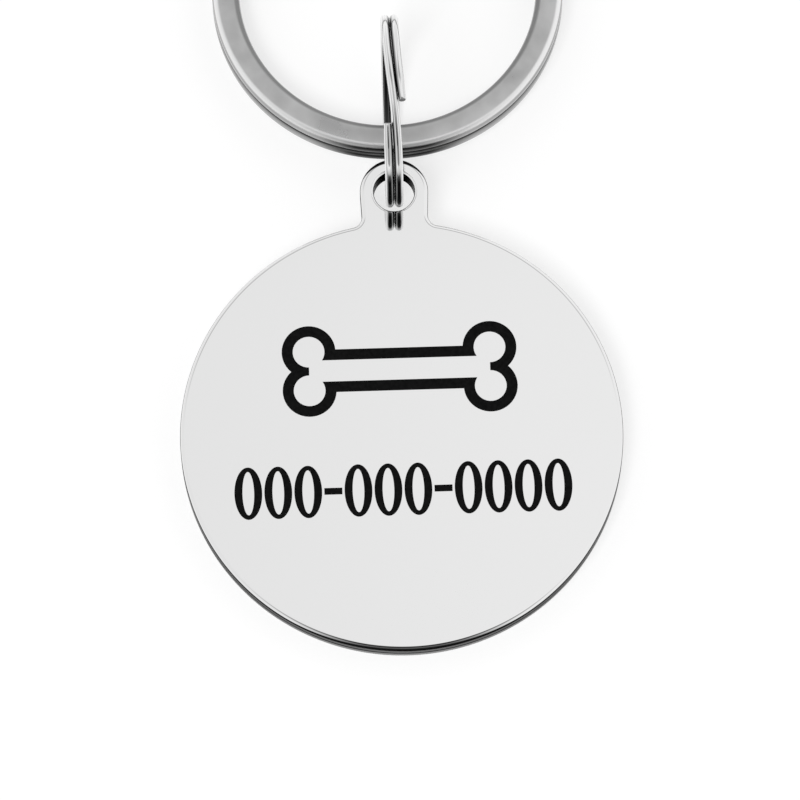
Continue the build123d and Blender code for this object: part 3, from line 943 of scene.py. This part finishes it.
def floor():
    # pale paper that the camera and the metal see partly as plain white, so the shadow stays soft
    look = floorLook
    half = look["size"] / 2
    mesh = bpy.data.meshes.new("floor")
    corners = [(x * half, y * half, 0) for x, y in ((-1, -1), (1, -1), (1, 1), (-1, 1))]
    mesh.from_pydata(corners, [], [(0, 1, 2, 3)])
    material, tree, shader = newMaterial("matt_white_paper")
    shader.inputs["Base Color"].default_value = linear(look["white"])
    shader.inputs["Roughness"].default_value = 1.0
    shader.inputs["Specular IOR Level"].default_value = 0.0
    rays = addNode(tree, "ShaderNodeLightPath").outputs
    seen = rays["Is Camera Ray"]
    for ray in ("Is Glossy Ray", "Is Transmission Ray"):
        seen = addNode(tree, "ShaderNodeMath", {0: seen, 1: rays[ray]}, operation="MAXIMUM").outputs["Value"]
    share = addNode(tree, "ShaderNodeMath", {0: seen, 1: look["share"]}, operation="MULTIPLY")
    white = addNode(tree, "ShaderNodeEmission", {"Color": (1, 1, 1, 1), "Strength": 1.0})
    mixed = addNode(tree, "ShaderNodeMixShader", {
        0: share.outputs["Value"], 1: shader.outputs["BSDF"], 2: white.outputs["Emission"],
    })
    tree.links.new(mixed.outputs["Shader"], tree.nodes["Material Output"].inputs["Surface"])
    mesh.materials.append(material)
    paper = bpy.data.objects.new("floor", mesh)
    bpy.context.scene.collection.objects.link(paper)


lampLook = {  # place and size in metres; the brightness of the panel's surface
    "place": (-0.2, -0.35, 0.7), "size": 0.3, "brightness": 11.4,
}


def softLamp():
    # lights the paper and casts the soft shadow; the metal shows the room instead
    look = lampLook
    data = bpy.data.lights.new("softLamp", "AREA")
    data.size = look["size"]
    data.energy = look["brightness"] * math.pi * look["size"] ** 2  # watts for that brightness
    holder = bpy.data.objects.new("softLamp", data)
    holder.location = look["place"]
    holder.rotation_euler = (-holder.location).to_track_quat("-Z", "Y").to_euler()
    holder.visible_glossy = False
    bpy.context.scene.collection.objects.link(holder)


roomLook = {  # brightness by direction: x to the right, y away from the camera, z up
    "tent": 0.93, "left": 0.95, "right": 1.03, "middle": 0.05,
    "behind": ((0.22, 0.37, 0.5), (0.5, 0.62, 0.42)),  # from, to, and what it multiplies by
    "behindHalf": 0.3, "behindEdge": 0.5, "behindLow": 0.74, "behindHigh": 0.88,  # its width and lower edge
    "slit": ((-0.14, -0.3, 0.045), (-0.72, -0.9, 6.0)), "slitHalf": 0.15, "slitEdge": 0.65,
}


def room():
    # a white light tent, dimmer high up behind the tag, with a dark slit on the side of the camera
    look = roomLook
    world = bpy.data.worlds.new("lightTent")
    bpy.context.scene.world = world
    world.use_nodes = True
    tree = world.node_tree
    way = addNode(tree, "ShaderNodeTexCoord").outputs["Generated"]
    split = addNode(tree, "ShaderNodeSeparateXYZ", {"Vector": way}).outputs
    aside = addNode(tree, "ShaderNodeMath", {0: split["X"]}, operation="ABSOLUTE").outputs["Value"]

    def through(bands, level):
        # dims a level by bands that run from the camera's side to the far side
        for start, stop, factor in bands:
            part = addNode(tree, "ShaderNodeMapRange", {
                "Value": split["Y"], "From Min": start, "From Max": stop, "To Min": 1.0, "To Max": factor,
            }, interpolation_type="SMOOTHSTEP")
            level = addNode(tree, "ShaderNodeMath", {
                0: level, 1: part.outputs["Result"],
            }, operation="MULTIPLY").outputs["Value"]
        return level

    left, right = (look["tent"] * look[side] for side in ("left", "right"))
    tent, beside, wide, below = (
        addNode(tree, "ShaderNodeMapRange", {
            "Value": value, "From Min": start, "From Max": stop, "To Min": before, "To Max": after,
        }, interpolation_type="SMOOTHSTEP").outputs["Result"]
        for value, start, stop, before, after in (
            (split["X"], -look["middle"], look["middle"], left, right),
            (aside, look["slitHalf"], look["slitEdge"], 0.0, 1.0),
            (aside, look["behindHalf"], look["behindEdge"], 0.0, 1.0),
            (split["Z"], look["behindLow"], look["behindHigh"], 1.0, 0.0),
        )
    )
    front = addNode(tree, "ShaderNodeMix", {0: beside, 2: through(look["slit"], tent), 3: tent})
    outside = addNode(tree, "ShaderNodeMath", {0: wide, 1: below}, operation="MAXIMUM").outputs["Value"]
    dimmed = through(look["behind"], front.outputs[0])
    level = addNode(tree, "ShaderNodeMix", {0: outside, 2: dimmed, 3: front.outputs[0]})
    tree.links.new(level.outputs[0], tree.nodes["Background"].inputs["Strength"])
    tree.nodes["Background"].inputs["Color"].default_value = (1, 1, 1, 1)


cameraLook = {  # degrees and millimetres
    "elevation": 71.807, "azimuth": -1.617, "roll": -0.14, "distance": 600.0,
    "target": (-0.032, -12.747, 1.5), "lens": 372.74, "sensor": 36.0,
}


def camera():
    look = cameraLook
    e, a, r = (math.radians(look[key]) for key in ("elevation", "azimuth", "roll"))
    back = Vector((math.sin(a) * math.cos(e), -math.cos(a) * math.cos(e), math.sin(e)))
    right = Vector((math.cos(a), math.sin(a), 0))
    up = back.cross(right)
    rolledRight = right * math.cos(r) + up * math.sin(r)
    rolledUp = up * math.cos(r) - right * math.sin(r)
    data = bpy.data.cameras.new("camera")
    data.lens = look["lens"]
    data.sensor_width = look["sensor"]
    holder = bpy.data.objects.new("camera", data)
    turn = Matrix((rolledRight, rolledUp, back)).transposed().to_4x4()
    place = (Vector(look["target"]) + back * look["distance"]) * mm
    holder.matrix_world = Matrix.Translation(place) @ turn
    bpy.context.scene.collection.objects.link(holder)
    bpy.context.scene.camera = holder


floor()
softLamp()
room()
camera()
bpy.context.scene.view_settings.view_transform = "Standard"
print("stage set")
